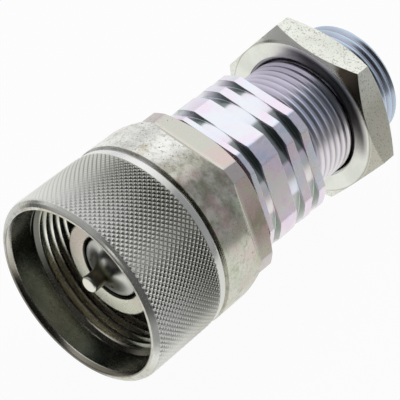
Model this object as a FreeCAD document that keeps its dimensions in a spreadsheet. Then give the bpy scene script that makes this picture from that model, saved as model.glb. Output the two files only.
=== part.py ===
import FreeCAD, Part
import os
import Sketcher

# Screw-to-connect hydraulic coupler half for a bulkhead, all lengths in millimetres.
# The axis of the coupler is Y: the mouth faces -Y and the tube end faces +Y.
# Lengths named ..._at are counted from the plane of the mouth, along the axis.

doc = FreeCAD.newDocument("coupler")
sizes = doc.addObject("Spreadsheet::Sheet", "sizes")

SIZES = [
    # fits that the pieces share
    ("run_gap", "0.05"),
    ("seat_gap", "0.02"),
    ("ring_gap", "0.1"),
    ("hex_slope", "0.577"),
    # union nut, outside
    ("nut_od", "45.5"),
    ("nut_rad", "=nut_od / 2"),
    ("nut_length", "38.4"),
    ("rim_bevel", "1.3"),
    ("rim_bevel_length", "1"),
    ("rim_rad", "=nut_rad - rim_bevel"),
    ("band_groove_at", "21.4"),
    ("band_groove_slope", "0.75"),
    ("band_groove_floor_at", "=band_groove_at + band_groove_slope"),
    ("band_groove_width", "1.05"),
    ("band_groove_depth", "0.65"),
    ("band_groove_rad", "=nut_rad - band_groove_depth"),
    ("band_groove_end", "=band_groove_at + band_groove_width"),
    ("nut_flat_depth", "2.25"),
    ("nut_flat", "=nut_rad - nut_flat_depth"),
    ("nut_flat_length", "5.4"),
    ("nut_flat_at", "=nut_length - nut_flat_length"),
    ("nut_face_step", "0.3"),
    ("nut_face_rad", "=nut_flat - nut_face_step"),
    ("nut_bevel_at", "=nut_length - (nut_rad - nut_face_rad) * hex_slope"),
    ("cut_height", "=nut_rad + 2"),
    ("cut_top_at", "=nut_flat_at - (cut_height - nut_flat)"),
    ("cut_end", "=nut_length + 2"),
    ("cut_width", "=nut_rad * 2"),
    # union nut, inside
    ("mate_thread_core_rad", "18.92"),
    ("mate_thread_depth", "1.18"),
    ("mouth_rad", "=mate_thread_core_rad + mate_thread_depth"),
    ("mouth_flare", "0.55"),
    ("mouth_flare_length", "1.2"),
    ("mouth_flare_rad", "=mouth_rad + mouth_flare"),
    ("mate_thread_at", "8"),
    ("mate_thread_length", "9.8"),
    ("mate_thread_lead", "=mate_thread_at - mate_thread_depth"),
    ("mate_thread_end", "=mate_thread_at + mate_thread_length"),
    ("nut_relief_length", "2.6"),
    ("nut_relief_end", "=mate_thread_end + nut_relief_length"),
    # valve body, radii from the oil way outwards
    ("nose_bore_rad", "7.7"),
    ("nose_lip", "0.45"),
    ("nose_lip_rad", "=nose_bore_rad + nose_lip"),
    ("seat_depth", "1.9"),
    ("chamber_rad", "=nose_bore_rad + seat_depth"),
    ("nose_wall", "2.1"),
    ("nose_rad", "=chamber_rad + nose_wall"),
    ("nose_edge", "0.3"),
    ("nose_edge_rad", "=nose_rad - nose_edge"),
    ("nose_groove_depth", "1.4"),
    ("nose_groove_rad", "=nose_rad - nose_groove_depth"),
    ("spigot_wall", "2.85"),
    ("spigot_rad", "=chamber_rad + spigot_wall"),
    ("pilot_step", "0.45"),
    ("pilot_rad", "=spigot_rad - pilot_step"),
    ("gland_depth", "1.25"),
    ("gland_rad", "=pilot_rad - gland_depth"),
    ("flange_gap", "0.9"),
    ("flange_rad", "=mate_thread_core_rad - flange_gap"),
    ("flange_edge", "0.4"),
    ("flange_edge_rad", "=flange_rad - flange_edge"),
    ("clip_groove_depth", "0.8"),
    ("clip_groove_rad", "=chamber_rad + clip_groove_depth"),
    # valve body, places along the axis
    ("nose_at", "9.8"),
    ("nose_edge_at", "=nose_at + nose_edge"),
    ("nose_lip_at", "=nose_at + nose_lip"),
    ("nose_land", "1.4"),
    ("nose_groove_at", "=nose_at + nose_land"),
    ("nose_groove_width", "3"),
    ("nose_groove_end", "=nose_groove_at + nose_groove_width"),
    ("seat_inset", "4.2"),
    ("seat_at", "=nose_at + seat_inset"),
    ("seat_end", "=seat_at + seat_depth"),
    ("nose_length", "11.2"),
    ("flange_at", "=nose_at + nose_length"),
    ("flange_edge_at", "=flange_at + flange_edge"),
    ("flange_thickness", "4"),
    ("flange_end", "=flange_at + flange_thickness"),
    ("spigot_length", "4.8"),
    ("spigot_end", "=flange_end + spigot_length"),
    ("gland_land", "0.8"),
    ("gland_at", "=spigot_end + gland_land"),
    ("gland_width", "2.9"),
    ("gland_end", "=gland_at + gland_width"),
    ("clip_land", "0.45"),
    ("clip_thickness", "1.1"),
    ("clip_groove_at", "=gland_end + clip_land"),
    ("clip_groove_end", "=clip_groove_at + clip_thickness + 2 * seat_gap"),
    ("pilot_tail", "1.41"),
    ("pilot_end", "=clip_groove_end + pilot_tail"),
    # rear body, front end and hexagon
    ("neck_wall", "2.05"),
    ("neck_rad", "=spigot_rad + neck_wall"),
    ("neck_edge", "0.3"),
    ("neck_front", "=flange_end + seat_gap"),
    ("neck_edge_at", "=neck_front + neck_edge"),
    ("neck_edge_rad", "=neck_rad - neck_edge"),
    ("tap_rad", "=spigot_rad + run_gap"),
    ("tap_end", "=spigot_end + ring_gap"),
    ("pilot_bore_rad", "=pilot_rad + run_gap"),
    ("pilot_bore_end", "=pilot_end + ring_gap"),
    ("nut_clearance", "1.8"),
    ("hex_at", "=nut_length + nut_clearance"),
    ("front_ring_width", "1.4"),
    ("front_groove_width", "2.4"),
    ("wide_width", "5.5"),
    ("middle_groove_width", "3"),
    ("middle_width", "2.5"),
    ("rear_groove_width", "2.6"),
    ("rear_ring_width", "2.4"),
    ("front_ring_end", "=hex_at + front_ring_width"),
    ("wide_at", "=front_ring_end + front_groove_width"),
    ("wide_end", "=wide_at + wide_width"),
    ("middle_at", "=wide_end + middle_groove_width"),
    ("middle_end", "=middle_at + middle_width"),
    ("rear_ring_at", "=middle_end + rear_groove_width"),
    ("mouth_to_panel", "=rear_ring_at + rear_ring_width"),
    ("body_across_flats", "36"),
    ("body_flat", "=body_across_flats / 2"),
    ("body_corner", "1.5"),
    ("body_land_rad", "=body_flat + body_corner"),
    ("body_groove_depth", "1.55"),
    ("body_groove_rad", "=body_land_rad - body_groove_depth"),
    ("body_groove_side", "=front_groove_width / 12"),
    ("front_groove_in", "=front_ring_end + body_groove_side"),
    ("front_groove_out", "=wide_at - body_groove_side"),
    ("middle_groove_in", "=wide_end + body_groove_side"),
    ("middle_groove_out", "=middle_at - body_groove_side"),
    ("rear_groove_in", "=middle_end + body_groove_side"),
    ("rear_groove_out", "=rear_ring_at - body_groove_side"),
    ("body_cut_height", "=body_land_rad + 2"),
    ("body_cut_width", "=body_land_rad * 2"),
    ("body_cut_at", "=hex_at - 1"),
    ("body_cut_end", "=mouth_to_panel + 1"),
    # rear body, bulkhead thread and tube end
    ("panel_to_end", "34.4"),
    ("total_length", "=mouth_to_panel + panel_to_end"),
    ("tube_od", "22"),
    ("tube_wall", "1.5"),
    ("flow_rad", "=tube_od / 2 - tube_wall"),
    ("tube_socket_rad", "=tube_od / 2 + run_gap"),
    ("tube_cone_height", "1.15"),
    ("tube_cone_slope", "0.2126"),
    ("tube_cone_rad", "=tube_socket_rad + tube_cone_height"),
    ("tube_stop_depth", "7.5"),
    ("tube_stop_at", "=total_length - tube_stop_depth"),
    ("tube_cone_at", "=total_length - tube_cone_height / tube_cone_slope"),
    ("thread_step", "8"),
    ("thread_od", "=tube_od + thread_step"),
    ("thread_rad", "=thread_od / 2"),
    ("thread_pitch", "2"),
    ("thread_core_rad", "=thread_rad - 0.7 * thread_pitch"),
    ("undercut_width", "2.5"),
    ("undercut_end", "=mouth_to_panel + undercut_width"),
    ("thread_start", "=undercut_end + thread_rad - thread_core_rad"),
    ("thread_stop", "=total_length - (thread_rad - thread_core_rad)"),
    # lock nut, in its own frame
    ("lock_nut_at", "15.4"),
    ("lock_nut_thickness", "8"),
    ("lock_nut_bore_rad", "=thread_rad + run_gap"),
    ("lock_nut_sink", "0.9"),
    ("lock_nut_sink_rad", "=lock_nut_bore_rad + lock_nut_sink"),
    ("lock_nut_sink_end", "=lock_nut_thickness - lock_nut_sink"),
    ("lock_nut_wall", "5.05"),
    ("lock_nut_flat", "=thread_rad + lock_nut_wall"),
    ("lock_nut_corner_rad", "=lock_nut_flat / 0.866"),
    ("lock_nut_face_rad", "=lock_nut_flat - 0.5"),
    ("lock_nut_bevel", "=(lock_nut_corner_rad - lock_nut_face_rad) * hex_slope"),
    ("lock_nut_bevel_end", "=lock_nut_thickness - lock_nut_bevel"),
    ("lock_nut_cut_height", "=lock_nut_corner_rad + 2"),
    ("lock_nut_cut_width", "=lock_nut_corner_rad * 2"),
    ("lock_nut_cut_end", "=lock_nut_thickness + 1"),
    # guide and clip
    ("stem_rad", "3"),
    ("guide_end", "=clip_groove_at"),
    ("guide_rim_height", "2.5"),
    ("guide_rim_at", "=guide_end - guide_rim_height"),
    ("guide_hub_rise", "1.8"),
    ("guide_hub_at", "=guide_rim_at - guide_hub_rise"),
    ("guide_rad", "=chamber_rad - run_gap"),
    ("guide_rim_wall", "1.25"),
    ("guide_rim_rad", "=guide_rad - guide_rim_wall"),
    ("guide_hub_wall", "1.6"),
    ("guide_hub_rad", "=stem_rad + guide_hub_wall"),
    ("guide_bore_rad", "=stem_rad + run_gap"),
    ("guide_arm_width", "2.4"),
    ("guide_arm_in", "=guide_hub_rad - 0.6"),
    ("guide_arm_out", "=guide_rim_rad + 0.6"),
    ("clip_at", "=clip_groove_at + seat_gap"),
    ("clip_end", "=clip_at + clip_thickness"),
    ("clip_rad", "=clip_groove_rad - run_gap"),
    ("clip_width", "2"),
    ("clip_in_rad", "=clip_rad - clip_width"),
    ("clip_gap_angle", "38"),
    ("clip_angle", "=360 - clip_gap_angle"),
    # poppet and what rides on it
    ("pin_reach", "6.2"),
    ("pin_tip_at", "=nose_at - pin_reach"),
    ("pin_rad", "2.25"),
    ("pin_edge", "0.35"),
    ("pin_edge_at", "=pin_tip_at + pin_edge"),
    ("pin_edge_rad", "=pin_rad - pin_edge"),
    ("head_inset", "0.6"),
    ("head_at", "=nose_at + head_inset"),
    ("head_gap", "0.35"),
    ("head_rad", "=nose_bore_rad - head_gap"),
    ("head_edge", "0.35"),
    ("head_edge_at", "=head_at + head_edge"),
    ("head_edge_rad", "=head_rad - head_edge"),
    ("flare", "=head_edge_rad - pin_rad - 0.5"),
    ("seal_at", "=seat_at - head_gap + run_gap"),
    ("seal_gap", "0.7"),
    ("seal_rad", "=chamber_rad - seal_gap"),
    ("seal_cone_end", "=seal_at + seal_rad - head_rad"),
    ("seal_rim", "0.95"),
    ("seal_end", "=seal_cone_end + seal_rim"),
    ("seal_hub_step", "2"),
    ("seal_hub_rad", "=stem_rad + seal_hub_step"),
    ("seal_bore_rad", "=seal_hub_rad + seat_gap"),
    ("seal_front", "=seal_at + seat_gap"),
    ("seal_tip_rad", "=head_rad + seat_gap"),
    ("stem_edge", "0.4"),
    ("stem_short", "0.45"),
    ("stem_end", "=guide_end - stem_short"),
    ("stem_edge_at", "=stem_end - stem_edge"),
    ("stem_edge_rad", "=stem_rad - stem_edge"),
    ("plate_at", "=seal_end + seat_gap"),
    ("plate_thickness", "1.15"),
    ("plate_end", "=plate_at + plate_thickness"),
    ("plate_step", "0.3"),
    ("plate_rad", "=seal_rad - plate_step"),
    ("plate_bore_rad", "=stem_rad + seat_gap"),
    # spring
    ("spring_wire", "1.3"),
    ("spring_wire_rad", "=spring_wire / 2"),
    ("spring_hub_gap", "0.95"),
    ("spring_rad", "=guide_hub_rad + spring_hub_gap + spring_wire_rad"),
    ("spring_turns", "5"),
    ("wire_start", "=plate_end + seat_gap"),
    ("wire_end", "=wire_start + spring_wire"),
    ("spring_height", "=guide_rim_at - seat_gap - wire_end"),
    ("wire_in", "=spring_rad - spring_wire_rad"),
    ("wire_out", "=spring_rad + spring_wire_rad"),
    ("wire_low", "=wire_in + 0.3 * spring_wire"),
    ("wire_high", "=wire_out - 0.3 * spring_wire"),
    ("wire_near", "=wire_start + 0.3 * spring_wire"),
    ("wire_far", "=wire_end - 0.3 * spring_wire"),
    # seals and the bearing ring of the union nut
    ("nose_squeeze", "0.18"),
    ("nose_cord", "=nose_groove_depth + nose_squeeze"),
    ("nose_cord_in", "=nose_groove_rad + seat_gap"),
    ("nose_cord_at", "=nose_groove_at + seat_gap"),
    ("backup_width", "1.1"),
    ("nose_backup_at", "=nose_groove_end - backup_width - seat_gap"),
    ("nose_backup_end", "=nose_groove_end - seat_gap"),
    ("nose_backup_in", "=nose_groove_rad + seat_gap"),
    ("nose_backup_out", "=nose_rad - run_gap"),
    ("body_cord", "=gland_depth + run_gap - 2 * seat_gap"),
    ("body_cord_in", "=gland_rad + seat_gap"),
    ("body_cord_at", "=gland_at + 0.15"),
    ("body_backup_at", "=gland_end - backup_width - seat_gap"),
    ("body_backup_end", "=gland_end - seat_gap"),
    ("body_backup_in", "=gland_rad + seat_gap"),
    ("body_backup_out", "=pilot_bore_rad - seat_gap"),
    ("thrust_at", "=flange_end + seat_gap"),
    ("thrust_thickness", "2"),
    ("thrust_end", "=thrust_at + thrust_thickness"),
    ("thrust_in", "=neck_rad + ring_gap"),
    ("thrust_out", "=flange_rad - 0.4"),
    ("nut_shoulder_at", "=thrust_end + seat_gap"),
    ("nut_bore_rad", "=neck_rad + run_gap"),
    ("wiper_cord", "1.6"),
    ("wiper_groove_rad", "=neck_rad + wiper_cord + run_gap + seat_gap"),
    ("wiper_inset", "3"),
    ("wiper_groove_end", "=nut_length - wiper_inset"),
    ("wiper_groove_at", "=wiper_groove_end - wiper_cord - 0.4"),
    ("wiper_cord_in", "=neck_rad + run_gap"),
    ("wiper_cord_at", "=wiper_groove_at + 0.2"),
    # each cord is drawn as it sits squeezed in its gland, flat on four sides
    ("nose_cord_out", "=nose_cord_in + nose_cord"),
    ("nose_cord_end", "=nose_cord_at + nose_cord"),
    ("nose_cord_low", "=nose_cord_in + 0.3 * nose_cord"),
    ("nose_cord_high", "=nose_cord_out - 0.3 * nose_cord"),
    ("nose_cord_near", "=nose_cord_at + 0.3 * nose_cord"),
    ("nose_cord_far", "=nose_cord_end - 0.3 * nose_cord"),
    ("body_cord_out", "=body_cord_in + body_cord"),
    ("body_cord_end", "=body_cord_at + body_cord"),
    ("body_cord_low", "=body_cord_in + 0.3 * body_cord"),
    ("body_cord_high", "=body_cord_out - 0.3 * body_cord"),
    ("body_cord_near", "=body_cord_at + 0.3 * body_cord"),
    ("body_cord_far", "=body_cord_end - 0.3 * body_cord"),
    ("wiper_cord_out", "=wiper_cord_in + wiper_cord"),
    ("wiper_cord_end", "=wiper_cord_at + wiper_cord"),
    ("wiper_cord_low", "=wiper_cord_in + 0.3 * wiper_cord"),
    ("wiper_cord_high", "=wiper_cord_out - 0.3 * wiper_cord"),
    ("wiper_cord_near", "=wiper_cord_at + 0.3 * wiper_cord"),
    ("wiper_cord_far", "=wiper_cord_end - 0.3 * wiper_cord"),
    ("nut_tail_edge", "0.5"),
    ("nut_tail_rad", "=nut_bore_rad + nut_tail_edge"),
    ("nut_tail_at", "=nut_length - nut_tail_edge"),
]

for row, (name, text) in enumerate(SIZES, start=1):
    sizes.set("A%d" % row, name)
    sizes.set("B%d" % row, text)
    sizes.setAlias("B%d" % row, name)
doc.recompute()


def size(name):
    return float(sizes.get(name))


def origin_item(body, role):
    for item in body.Origin.OriginFeatures:
        if item.Role == role:
            return item
    raise RuntimeError(role + " not found")


def new_body(label):
    body = doc.addObject("PartDesign::Body", label)
    body.Label = label
    return body


def new_sketch(body, role):
    sketch = body.newObject("Sketcher::SketchObject", "sketch")
    sketch.AttachmentSupport = (origin_item(body, role), [""])
    sketch.MapMode = "FlatFace"
    return sketch


def fix_point(sketch, geo, pos, across, along):
    """Tie one point to the sheet: across is its first coordinate's size, along its second one's."""
    for kind, axis, name in (("DistanceX", -2, across), ("DistanceY", -1, along)):
        if name == "0":
            sketch.addConstraint(Sketcher.Constraint("PointOnObject", geo, pos, axis))
            continue
        sign = -1.0 if name.startswith("-") else 1.0
        alias = name.lstrip("-")
        if sign > 0:
            ends = (-1, 1, geo, pos)
        else:
            ends = (geo, pos, -1, 1)
        index = sketch.addConstraint(Sketcher.Constraint(kind, *ends, size(alias)))
        sketch.setExpression("Constraints[%d]" % index, "sizes." + alias)


def value(name):
    if name == "0":
        return 0.0
    if name.startswith("-"):
        return -size(name[1:])
    return size(name)


def polygon(sketch, corners):
    """Closed outline whose corners are pairs of names from the sheet."""
    points = [FreeCAD.Vector(value(a), value(b), 0) for a, b in corners]
    count = len(points)
    for i in range(count):
        sketch.addGeometry(Part.LineSegment(points[i], points[(i + 1) % count]), False)
    for i in range(count):
        sketch.addConstraint(Sketcher.Constraint("Coincident", i, 2, (i + 1) % count, 1))
    for i, (across, along) in enumerate(corners):
        fix_point(sketch, i, 1, across, along)


def turn(body, corners):
    """Revolve an outline of (radius, place along the axis) about the coupler's axis."""
    sketch = new_sketch(body, "XY_Plane")
    polygon(sketch, corners)
    doc.recompute()
    feature = body.newObject("PartDesign::Revolution", "turned")
    feature.Profile = sketch
    feature.ReferenceAxis = (sketch, ["V_Axis"])
    feature.Angle = 360
    sketch.Visibility = False
    doc.recompute()
    return feature


def six_around(body, feature, count=6):
    pattern = body.newObject("PartDesign::PolarPattern", "around")
    pattern.Originals = [feature]
    pattern.Axis = (origin_item(body, "Y_Axis"), [""])
    pattern.Angle = 360
    pattern.Occurrences = count
    body.Tip = pattern
    doc.recompute()
    return pattern


def cut_flats(body, corners, width):
    """Mill one flat straight across the body, then five more around the axis."""
    before = body.Shape.Volume
    sketch = new_sketch(body, "YZ_Plane")
    polygon(sketch, corners)
    doc.recompute()
    pocket = body.newObject("PartDesign::Pocket", "flat")
    pocket.Profile = sketch
    pocket.Midplane = True
    pocket.setExpression("Length", "sizes." + width)
    sketch.Visibility = False
    doc.recompute()
    if not body.Shape.Volume < before:
        raise RuntimeError(body.Label + ": the flat removed nothing")
    return six_around(body, pocket)


def from_mouth(body):
    body.setExpression("Placement.Base.y", "-sizes.mouth_to_panel")


bodies = []


def finish(body):
    from_mouth(body)
    bodies.append(body)


# union nut: turned sleeve with its rim, bore, thread core and bearing shoulder, then the six flats
union_nut = new_body("union_nut")
turn(union_nut, [
    ("mouth_flare_rad", "0"),
    ("rim_rad", "0"),
    ("nut_rad", "rim_bevel_length"),
    ("nut_rad", "band_groove_at"),
    ("band_groove_rad", "band_groove_floor_at"),
    ("band_groove_rad", "band_groove_end"),
    ("nut_rad", "band_groove_end"),
    ("nut_rad", "nut_bevel_at"),
    ("nut_face_rad", "nut_length"),
    ("nut_tail_rad", "nut_length"),
    ("nut_bore_rad", "nut_tail_at"),
    ("nut_bore_rad", "wiper_groove_end"),
    ("wiper_groove_rad", "wiper_groove_end"),
    ("wiper_groove_rad", "wiper_groove_at"),
    ("nut_bore_rad", "wiper_groove_at"),
    ("nut_bore_rad", "nut_shoulder_at"),
    ("mate_thread_core_rad", "nut_shoulder_at"),
    ("mate_thread_core_rad", "nut_relief_end"),
    ("mouth_rad", "nut_relief_end"),
    ("mouth_rad", "mate_thread_end"),
    ("mate_thread_core_rad", "mate_thread_end"),
    ("mate_thread_core_rad", "mate_thread_at"),
    ("mouth_rad", "mate_thread_lead"),
    ("mouth_rad", "mouth_flare_length"),
])
cut_flats(union_nut, [
    ("nut_flat_at", "nut_flat"),
    ("cut_top_at", "cut_height"),
    ("cut_end", "cut_height"),
    ("cut_end", "nut_flat"),
], "cut_width")
finish(union_nut)

# valve body: the nose that enters the mating half, its flange, and the threaded spigot behind
valve_body = new_body("valve_body")
turn(valve_body, [
    ("nose_bore_rad", "nose_lip_at"),
    ("nose_lip_rad", "nose_at"),
    ("nose_edge_rad", "nose_at"),
    ("nose_rad", "nose_edge_at"),
    ("nose_rad", "nose_groove_at"),
    ("nose_groove_rad", "nose_groove_at"),
    ("nose_groove_rad", "nose_groove_end"),
    ("nose_rad", "nose_groove_end"),
    ("nose_rad", "flange_at"),
    ("flange_edge_rad", "flange_at"),
    ("flange_rad", "flange_edge_at"),
    ("flange_rad", "flange_end"),
    ("spigot_rad", "flange_end"),
    ("spigot_rad", "spigot_end"),
    ("pilot_rad", "spigot_end"),
    ("pilot_rad", "gland_at"),
    ("gland_rad", "gland_at"),
    ("gland_rad", "gland_end"),
    ("pilot_rad", "gland_end"),
    ("pilot_rad", "pilot_end"),
    ("chamber_rad", "pilot_end"),
    ("chamber_rad", "clip_groove_end"),
    ("clip_groove_rad", "clip_groove_end"),
    ("clip_groove_rad", "clip_groove_at"),
    ("chamber_rad", "clip_groove_at"),
    ("chamber_rad", "seat_end"),
    ("nose_bore_rad", "seat_at"),
])
finish(valve_body)

# rear body: neck under the union nut, grooved hexagon, bulkhead thread, cone for the tube
rear_body = new_body("rear_body")
turn(rear_body, [
    ("tap_rad", "neck_front"),
    ("neck_edge_rad", "neck_front"),
    ("neck_rad", "neck_edge_at"),
    ("neck_rad", "hex_at"),
    ("body_land_rad", "hex_at"),
    ("body_land_rad", "front_ring_end"),
    ("body_groove_rad", "front_groove_in"),
    ("body_groove_rad", "front_groove_out"),
    ("body_land_rad", "wide_at"),
    ("body_land_rad", "wide_end"),
    ("body_groove_rad", "middle_groove_in"),
    ("body_groove_rad", "middle_groove_out"),
    ("body_land_rad", "middle_at"),
    ("body_land_rad", "middle_end"),
    ("body_groove_rad", "rear_groove_in"),
    ("body_groove_rad", "rear_groove_out"),
    ("body_land_rad", "rear_ring_at"),
    ("body_land_rad", "mouth_to_panel"),
    ("thread_core_rad", "mouth_to_panel"),
    ("thread_core_rad", "undercut_end"),
    ("thread_rad", "thread_start"),
    ("thread_rad", "thread_stop"),
    ("thread_core_rad", "total_length"),
    ("tube_cone_rad", "total_length"),
    ("tube_socket_rad", "tube_cone_at"),
    ("tube_socket_rad", "tube_stop_at"),
    ("flow_rad", "tube_stop_at"),
    ("flow_rad", "pilot_bore_end"),
    ("pilot_bore_rad", "pilot_bore_end"),
    ("pilot_bore_rad", "tap_end"),
    ("tap_rad", "tap_end"),
])
cut_flats(rear_body, [
    ("body_cut_at", "body_flat"),
    ("body_cut_at", "body_cut_height"),
    ("body_cut_end", "body_cut_height"),
    ("body_cut_end", "body_flat"),
], "body_cut_width")
finish(rear_body)

# lock nut: turned blank with both bevels, then the six flats
lock_nut = new_body("lock_nut")
turn(lock_nut, [
    ("lock_nut_sink_rad", "0"),
    ("lock_nut_face_rad", "0"),
    ("lock_nut_corner_rad", "lock_nut_bevel"),
    ("lock_nut_corner_rad", "lock_nut_bevel_end"),
    ("lock_nut_face_rad", "lock_nut_thickness"),
    ("lock_nut_sink_rad", "lock_nut_thickness"),
    ("lock_nut_bore_rad", "lock_nut_sink_end"),
    ("lock_nut_bore_rad", "lock_nut_sink"),
])
cut_flats(lock_nut, [
    ("-lock_nut_sink", "lock_nut_flat"),
    ("-lock_nut_sink", "lock_nut_cut_height"),
    ("lock_nut_cut_end", "lock_nut_cut_height"),
    ("lock_nut_cut_end", "lock_nut_flat"),
], "lock_nut_cut_width")
lock_nut.setExpression("Placement.Base.y", "sizes.lock_nut_at")
bodies.append(lock_nut)

# poppet: stub pin flaring into the head, hub for the seal, guided stem
poppet = new_body("poppet")
poppet_turned = turn(poppet, [
    ("0", "pin_tip_at"),
    ("pin_edge_rad", "pin_tip_at"),
    ("pin_rad", "pin_edge_at"),
    ("pin_rad", "head_at"),
    ("head_edge_rad", "head_at"),
    ("head_rad", "head_edge_at"),
    ("head_rad", "seal_at"),
    ("seal_hub_rad", "seal_at"),
    ("seal_hub_rad", "seal_end"),
    ("stem_rad", "seal_end"),
    ("stem_rad", "stem_edge_at"),
    ("stem_edge_rad", "stem_end"),
    ("0", "stem_end"),
])


def ring_edge(shape, rad, along):
    for number, edge in enumerate(shape.Edges, start=1):
        curve = edge.Curve
        if not isinstance(curve, Part.Circle):
            continue
        if abs(curve.Radius - rad) < 1e-4 and abs(curve.Center.y - along) < 1e-4:
            return "Edge%d" % number
    raise RuntimeError("no edge of that radius")


flare = poppet.newObject("PartDesign::Fillet", "flare")
flare.Base = (poppet_turned, [ring_edge(poppet_turned.Shape, size("pin_rad"), size("head_at"))])
flare.setExpression("Radius", "sizes.flare")
doc.recompute()
finish(poppet)

poppet_seal = new_body("poppet_seal")
turn(poppet_seal, [
    ("seal_bore_rad", "seal_front"),
    ("seal_tip_rad", "seal_front"),
    ("seal_rad", "seal_cone_end"),
    ("seal_rad", "seal_end"),
    ("seal_bore_rad", "seal_end"),
])
finish(poppet_seal)

spring_plate = new_body("spring_plate")
turn(spring_plate, [
    ("plate_bore_rad", "plate_at"),
    ("plate_rad", "plate_at"),
    ("plate_rad", "plate_end"),
    ("plate_bore_rad", "plate_end"),
])
finish(spring_plate)

# spring: one wire swept along a helix between the plate and the guide
valve_spring = new_body("valve_spring")
wire = new_sketch(valve_spring, "XY_Plane")
polygon(wire, [
    ("wire_in", "wire_near"),
    ("wire_low", "wire_start"),
    ("wire_high", "wire_start"),
    ("wire_out", "wire_near"),
    ("wire_out", "wire_far"),
    ("wire_high", "wire_end"),
    ("wire_low", "wire_end"),
    ("wire_in", "wire_far"),
])
doc.recompute()
coil = valve_spring.newObject("PartDesign::AdditiveHelix", "coil")
coil.Profile = wire
coil.ReferenceAxis = (wire, ["V_Axis"])
coil.Mode = "height-turns-angle"
coil.setExpression("Height", "sizes.spring_height")
coil.setExpression("Turns", "sizes.spring_turns")
coil.Angle = 0
wire.Visibility = False
doc.recompute()
finish(valve_spring)

# guide: hub, three arms with one under the end of the spring, then the rim that sits in the chamber
valve_guide = new_body("valve_guide")
turn(valve_guide, [
    ("guide_bore_rad", "guide_hub_at"),
    ("guide_hub_rad", "guide_hub_at"),
    ("guide_hub_rad", "guide_end"),
    ("guide_bore_rad", "guide_end"),
])
arm_sketch = new_sketch(valve_guide, "XY_Plane")
polygon(arm_sketch, [
    ("guide_arm_in", "guide_rim_at"),
    ("guide_arm_out", "guide_rim_at"),
    ("guide_arm_out", "guide_end"),
    ("guide_arm_in", "guide_end"),
])
doc.recompute()
arm = valve_guide.newObject("PartDesign::Pad", "arm")
arm.Profile = arm_sketch
arm.Midplane = True
arm.setExpression("Length", "sizes.guide_arm_width")
arm_sketch.Visibility = False
doc.recompute()
six_around(valve_guide, arm, 3)
turn(valve_guide, [
    ("guide_rim_rad", "guide_rim_at"),
    ("guide_rad", "guide_rim_at"),
    ("guide_rad", "guide_end"),
    ("guide_rim_rad", "guide_end"),
])
finish(valve_guide)

guide_circlip = new_body("guide_circlip")
clip = turn(guide_circlip, [
    ("clip_in_rad", "clip_at"),
    ("clip_rad", "clip_at"),
    ("clip_rad", "clip_end"),
    ("clip_in_rad", "clip_end"),
])
clip.setExpression("Angle", "sizes.clip_angle")
finish(guide_circlip)


def cord_ring(label, cord):
    body = new_body(label)
    turn(body, [
        (cord + "_in", cord + "_near"),
        (cord + "_low", cord + "_at"),
        (cord + "_high", cord + "_at"),
        (cord + "_out", cord + "_near"),
        (cord + "_out", cord + "_far"),
        (cord + "_high", cord + "_end"),
        (cord + "_low", cord + "_end"),
        (cord + "_in", cord + "_far"),
    ])
    finish(body)


def flat_ring(label, inner, outer, start, end):
    body = new_body(label)
    turn(body, [(inner, start), (outer, start), (outer, end), (inner, end)])
    finish(body)


cord_ring("nose_oring", "nose_cord")
flat_ring("nose_backup_ring", "nose_backup_in", "nose_backup_out", "nose_backup_at", "nose_backup_end")
cord_ring("body_oring", "body_cord")
flat_ring("body_backup_ring", "body_backup_in", "body_backup_out", "body_backup_at", "body_backup_end")
flat_ring("nut_thrust_ring", "thrust_in", "thrust_out", "thrust_at", "thrust_end")
cord_ring("nut_wiper_ring", "wiper_cord")

doc.recompute()
for item in doc.Objects:
    if "Invalid" in item.State or "Error" in item.State:
        raise RuntimeError(item.Label + " did not build: " + ", ".join(item.State))
for body in bodies:
    shape = body.Shape
    if shape.isNull() or not shape.isValid() or len(shape.Solids) != 1:
        raise RuntimeError(body.Label + " is not one sound solid")

os.makedirs("parts", exist_ok=True)
for body in bodies:
    body.Shape.exportStep("parts/" + body.Label + ".step")
    box = body.Shape.BoundBox
    print("%-18s volume %9.1f  y %7.2f to %7.2f" % (body.Label, body.Shape.Volume, box.YMin, box.YMax))
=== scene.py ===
# %% [markdown]
# A screw-to-connect hydraulic coupler half, made in Blender round its CAD frame.
# The frame already holds every piece at its real size. This lesson adds what a drawing leaves out:
# the knurl, the threads, the broken edges, and the zinc plating that gives the part its look.

# %% Load the frame and note its box
import math

import bmesh
import bpy
import numpy as np
from mathutils import Matrix, Vector


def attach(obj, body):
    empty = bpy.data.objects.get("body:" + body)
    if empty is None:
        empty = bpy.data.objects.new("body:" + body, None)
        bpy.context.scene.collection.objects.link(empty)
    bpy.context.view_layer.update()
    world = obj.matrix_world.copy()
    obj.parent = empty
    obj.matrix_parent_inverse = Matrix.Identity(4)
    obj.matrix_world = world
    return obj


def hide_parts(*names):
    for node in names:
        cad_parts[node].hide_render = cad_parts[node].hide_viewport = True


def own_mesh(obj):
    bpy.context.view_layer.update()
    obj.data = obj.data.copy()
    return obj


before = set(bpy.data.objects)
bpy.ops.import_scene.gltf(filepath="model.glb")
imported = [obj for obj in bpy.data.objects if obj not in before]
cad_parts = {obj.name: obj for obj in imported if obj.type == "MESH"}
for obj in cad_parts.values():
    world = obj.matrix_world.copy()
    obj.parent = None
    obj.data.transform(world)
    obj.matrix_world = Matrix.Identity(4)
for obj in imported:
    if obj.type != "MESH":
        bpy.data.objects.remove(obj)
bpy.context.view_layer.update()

print("CAD pieces:", ", ".join(sorted(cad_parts)))

# %% [markdown]
# The five pieces that show are turned on a lathe, so one helper makes them all: an outline of points,
# each with its distance along the axis and its radius, is carried round the axis in small steps.
# A spin modifier could do that for a plain outline. Here each row keeps a value for every step
# round the axis, so that the same helper also gives flats, a climbing thread and a knurl.
# Sizes of the part are in millimetres, and places along its axis count from the mouth.

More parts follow.
